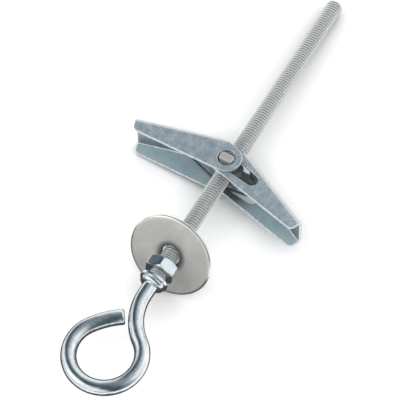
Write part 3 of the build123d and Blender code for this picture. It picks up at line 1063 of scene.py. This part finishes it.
class TOGGLE_OT_spring(bpy.types.Operator):
    """Bends the spring wire in three lengths, each lying along one wing from the bend under the ears"""

    bl_idname = "toggle.spring"
    bl_label = "Spring"

    def execute(self, context):
        sizes = context.scene.toggle_spring
        wings = context.scene.toggle_wings
        outer = self.seat(sizes, -1, wings.outer_lean)
        inner = self.seat(sizes, 1, wings.inner_lean)
        hook = np.array([0.0, 0.0, PIVOT_STATION - sizes.hook_drop])
        upper, lower = (side * np.array([0.0, sizes.track, 0.0]) for side in (-1, 1))
        corners = [inner + upper, hook + upper, outer + upper, outer + lower, hook + lower, inner + lower]
        bends = (sizes.hook_radius, sizes.bar_radius, sizes.bar_radius, sizes.hook_radius)
        points, tangents = rounded_path(corners, bends, SPRING_STEP)

        # The wire is cut where it passes under the pivot, so that each length lies along one wing.
        cut_upper, cut_lower = (
            int(np.argmin(np.linalg.norm(points - hook - lane, axis=1))) for lane in (upper, lower)
        )
        in_order = 0 < cut_upper < cut_lower < len(points) - 1
        require(in_order, "The spring doesn't pass under the pivot twice")
        lengths = (
            ("spring_inner_upper", "inner_wing", slice(0, cut_upper + 1), hook + upper, inner + upper),
            ("spring_outer", "outer_wing", slice(cut_upper, cut_lower + 1), hook, outer),
            ("spring_inner_lower", "inner_wing", slice(cut_lower, None), hook + lower, inner + lower),
        )
        material = spring_drawn(context.scene.toggle_finish)
        upright = np.cross(outer - hook, ROD_DOWN)
        for name, wing, part, start, end in lengths:
            radii = np.full((len(points[part]), SPRING_POINTS), sizes.wire_radius)
            rings = tube_rings(points[part], tangents[part], radii, upright)
            wire = grid_object(name, rings, points[part][[0, -1]])
            wire.data.materials.append(material)
            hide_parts("torsion_spring")
            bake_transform(wire)
        return {"FINISHED"}

    def seat(self, sizes, side, lean):
        """Where a leg ends under its wing's web, in the rod's own axes."""
        across = sizes.reach * math.cos(lean) + sizes.seat * math.sin(lean)
        along = sizes.seat * math.cos(lean) - sizes.reach * math.sin(lean)
        return np.array([side * across, 0.0, PIVOT_STATION + along])


class TOGGLE_OT_wings(bpy.types.Operator):
    """Breaks the sharp edges of the pressed wings and gives them their mottled plate, with a painted
    highlight on the edges, a painted reflection inside the cheeks and painted shade under the web and near
    the pivot
    """

    bl_idname = "toggle.wings"
    bl_label = "Wings"

    def execute(self, context):
        sizes = context.scene.toggle_wings
        finishes = [maker(context.scene.toggle_finish) for maker in WING_FINISHES]
        for name, side, lean in (("outer_wing", -1, sizes.outer_lean), ("inner_wing", 1, sizes.inner_lean)):
            wing = merged_copy(frame["nodes"][name], f"{name}_pressed")
            for finish in finishes:
                wing.data.materials.append(finish)
            wing.data.polygons.foreach_set("material_index", self.face_finishes(wing.data, sizes))

            # The cheeks' crowns run out to thin points where the web begins, and stay as they are pressed.
            run = np.array([side * math.cos(lean), 0.0, -math.sin(lean)]) @ ROD_AXES
            rise = np.array([side * math.sin(lean), 0.0, math.cos(lean)]) @ ROD_AXES
            places = vertex_places(wing.data) - PIVOT
            crown = places @ run < sizes.web_start + sizes.broken_edge
            crown &= places @ rise > sizes.web_rise - sizes.bend_radius - sizes.broken_edge
            # Only the inner wing takes the painted shade near the pivot.
            point_attribute(wing, "pivot_shaded", "FLOAT", np.full(len(places), name == "inner_wing"))
            break_edges(wing, sizes.broken_edge, finish_slot=EDGE, spared=crown)
            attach(wing, name)
            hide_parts(name)
        return {"FINISHED"}

    def face_finishes(self, mesh, sizes):
        """Which finish each face takes, from the way it is turned.

        With d the share of a face's normal along the fold axis, away from the wing's middle, the cheeks
        have d = 1 outside and -1 inside, and the bends lie between. The web's underside has d = 0 and
        stands further from the pivot than any other face that is turned towards it.
        """
        normals, centres = (np.empty(3 * len(mesh.polygons)) for _ in range(2))
        mesh.polygons.foreach_get("normal", normals)
        mesh.polygons.foreach_get("center", centres)
        normals, centres = normals.reshape(-1, 3), centres.reshape(-1, 3) - PIVOT
        outward = np.sign(centres @ DOWN) * (normals @ DOWN)
        facing = np.einsum("ij,ij->i", normals, centres - (centres @ DOWN)[:, None] * DOWN)
        chosen = np.full(len(outward), PLATE, np.int32)
        chosen[(outward > BEND_TURN) & (outward < CHEEK_TURN)] = BEND
        chosen[outward < INSIDE_TURN] = INSIDE
        chosen[(outward > INSIDE_TURN) & (outward < BEND_TURN) & (facing < -sizes.web_inside)] = WEB
        return chosen


class TOGGLE_OT_trunnion(bpy.types.Operator):
    """Breaks the edges of the trunnion nut and gives it a satin plate, with painted shade on its slab"""

    bl_idname = "toggle.trunnion"
    bl_label = "Trunnion nut"

    def execute(self, context):
        sizes = context.scene.toggle_trunnion
        trunnion = merged_copy(frame["nodes"]["trunnion_nut"], "trunnion_nut_sheared")
        stand = np.abs((vertex_places(trunnion.data) - PIVOT) @ DOWN)
        # The ear attribute divides the slab's painted shade from the ears.
        point_attribute(trunnion, "ear", "FLOAT", smooth_step(stand, sizes.slab_end, sizes.ear_start))
        trunnion.data.materials.append(trunnion_satin_slab_shade(context.scene.toggle_finish))
        break_edges(trunnion, sizes.broken_edge, finish_slot=0)
        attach(trunnion, "toggle")
        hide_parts("trunnion_nut")
        return {"FINISHED"}


class TOGGLE_OT_stage(bpy.types.Operator):
    """Lays the pale floor and the dark card, and sets the sky, the soft lights and the camera"""

    bl_idname = "toggle.stage"
    bl_label = "Stage"

    def execute(self, context):
        settings = context.scene.toggle_stage
        self.floor(settings)
        self.card(settings)
        self.sky(context, settings)
        self.lamp("key", settings.key_place, settings.key_size, settings.key_power)
        self.lamp("fill", settings.fill_place, settings.fill_size, settings.fill_power)
        self.camera(context, settings)
        context.scene.view_settings.view_transform = "Standard"
        return {"FINISHED"}

    def floor(self, settings):
        """A plain matt floor just under the lowest point.

        It glows white for the rays that show a background, less where something stands close over it,
        and so keeps a soft shadow.
        """
        half = settings.floor_half
        floor = flat_sheet("floor", (-half, -half), (half, half), CAD_LOW[2] - FLOOR_DROP)
        finish = Finish("pale_floor")
        sockets = finish.shader.inputs
        grain = finish.noise(finish.object_point(), scale=30.0, detail=2.0)
        tone = finish.spread(grain, NOISE_LOW, NOISE_HIGH, to_low=0.98)
        base = finish.blended(tone, BLACK, settings.floor_colour)
        finish.feed(sockets["Specular IOR Level"], 0.0)
        finish.feed(sockets["Emission Color"], (*WHITE, 1.0))
        openness = finish.node("ShaderNodeAmbientOcclusion", Distance=settings.floor_shade).outputs["AO"]
        lit = finish.number("MULTIPLY", finish.seen_rays(), finish.spread(openness, *settings.floor_open))
        finish.feed(sockets["Emission Strength"], finish.number("MULTIPLY", lit, settings.floor_glow))
        floor.data.materials.append(finish.dress(base, roughness=1.0, metal=0.0))

    def card(self, settings):
        """A dark card of dull metal under the eye that only polished metal shows, for its dark outlines.

        It reaches past the bolt's box by its margin at the side and by half of that at the eye.
        """
        low = (CAD_LOW[0] - settings.card_margin / 2, CAD_LOW[1])
        high = (settings.card_end, CAD_HIGH[1] + settings.card_margin)
        card = flat_sheet("dark_card", low, high, CAD_LOW[2] - CARD_DROP)
        finish = Finish("dark_card")
        tone = finish.noise(finish.object_point(), scale=40.0, detail=2.0)
        dim = [settings.card_dim * part for part in settings.card_tone]
        base = finish.blended(tone, dim, settings.card_tone)
        card.data.materials.append(finish.dress(base, roughness=1.0))
        card.visible_camera = card.visible_diffuse = card.visible_shadow = card.visible_transmission = False

    def sky(self, context, settings):
        """White light from all round, and for the metal to show a dark stripe between brighter walls."""
        world = bpy.data.worlds.new("studio")
        world.use_nodes = True
        context.scene.world = world
        work = NodeWork(world.node_tree)
        output = work.node("ShaderNodeOutputWorld")
        background = work.node("ShaderNodeBackground")
        work.tree.links.new(background.outputs["Background"], output.inputs["Surface"])
        direction = work.node("ShaderNodeTexCoord").outputs["Generated"]
        parts = work.node("ShaderNodeSeparateXYZ", Vector=direction).outputs
        across = work.vector("DOT_PRODUCT", direction, tuple(settings.stripe_way))
        raised = work.spread(parts["Z"], 0.0, settings.horizon)
        look = settings.sky_dark
        sides = ((settings.left_edge, settings.left_tone), (settings.right_edge, settings.right_tone))
        for edge, tone in sides:
            look = work.blended(work.number("MULTIPLY", work.spread(across, *edge), raised), look, tone)
        lowered = work.spread(parts["Z"], settings.horizon, 0.0)
        strip = work.number("MULTIPLY", lowered, work.spread(parts["X"], *settings.strip_edge))
        look = work.blended(strip, look, WHITE)
        look = work.blended(work.spread(parts["X"], *settings.back_edge), look, settings.back_tone)
        seen = work.seen_rays()
        work.feed(background.inputs["Color"], work.blended(seen, WHITE, look))
        work.feed(background.inputs["Strength"], work.spread(seen, 0.0, 1.0, settings.sky_level, 1.0))

    def lamp(self, name, stand, size, watts):
        """A square soft light that faces the middle of the object."""
        light = bpy.data.lights.new(name, "AREA")
        light.size = size
        light.energy = watts
        lamp = placed(name, light)
        lamp.location = stand
        lamp.rotation_mode = "QUATERNION"
        aim = Vector((PIVOT[0] * LAMP_AIM_SHARE, 0, 0)) - lamp.location
        lamp.rotation_quaternion = aim.to_track_quat("-Z", "Y")

    def camera(self, context, settings):
        """A long lens at the photograph's angle, set in the rod's own axes."""
        views = (settings.camera_place, settings.camera_aim, settings.camera_up)
        stand, aim, up = (np.array(view) @ ROD_AXES for view in views)
        back = (stand - aim) / np.linalg.norm(stand - aim)
        right = np.cross(up, back)
        right /= np.linalg.norm(right)
        turned = np.stack([right, np.cross(back, right), back], -1)
        data = bpy.data.cameras.new("camera")
        data.lens = settings.lens
        data.sensor_width = SENSOR_WIDTH
        data.clip_start, data.clip_end = CLIP_START, CLIP_END
        camera = placed("camera", data)
        camera.matrix_world = Matrix.Translation(stand) @ Matrix(turned.tolist()).to_4x4()
        context.scene.camera = camera


OPERATORS = (
    TOGGLE_OT_rod,
    TOGGLE_OT_nut,
    TOGGLE_OT_washer,
    TOGGLE_OT_spring,
    TOGGLE_OT_wings,
    TOGGLE_OT_trunnion,
    TOGGLE_OT_stage,
)


class TOGGLE_PT_panel(bpy.types.Panel):
    """Sidebar list of the bolt's pieces and sizes"""

    bl_idname = "TOGGLE_PT_panel"
    bl_label = "Toggle Bolt"
    bl_space_type = "VIEW_3D"
    bl_region_type = "UI"
    bl_category = "Toggle Bolt"

    def draw(self, context):
        for operator in OPERATORS:
            self.layout.operator(operator.bl_idname)
        for name, group in GROUPS.items():
            box = self.layout.box()
            for field in group.__annotations__:
                box.prop(getattr(context.scene, name), field)


CLASSES = (*GROUPS.values(), *OPERATORS, TOGGLE_PT_panel)


def register():
    for item in CLASSES:
        bpy.utils.register_class(item)
    for name, group in GROUPS.items():
        setattr(bpy.types.Scene, name, PointerProperty(type=group))


def unregister():
    for name in GROUPS:
        delattr(bpy.types.Scene, name)
    for item in reversed(CLASSES):
        bpy.utils.unregister_class(item)


def main():
    register()
    for operator in OPERATORS:
        area, name = operator.bl_idname.split(".")
        result = getattr(getattr(bpy.ops, area), name)()
        require(result == {"FINISHED"}, f"{operator.bl_label} didn't finish")


if __name__ == "__main__":
    main()
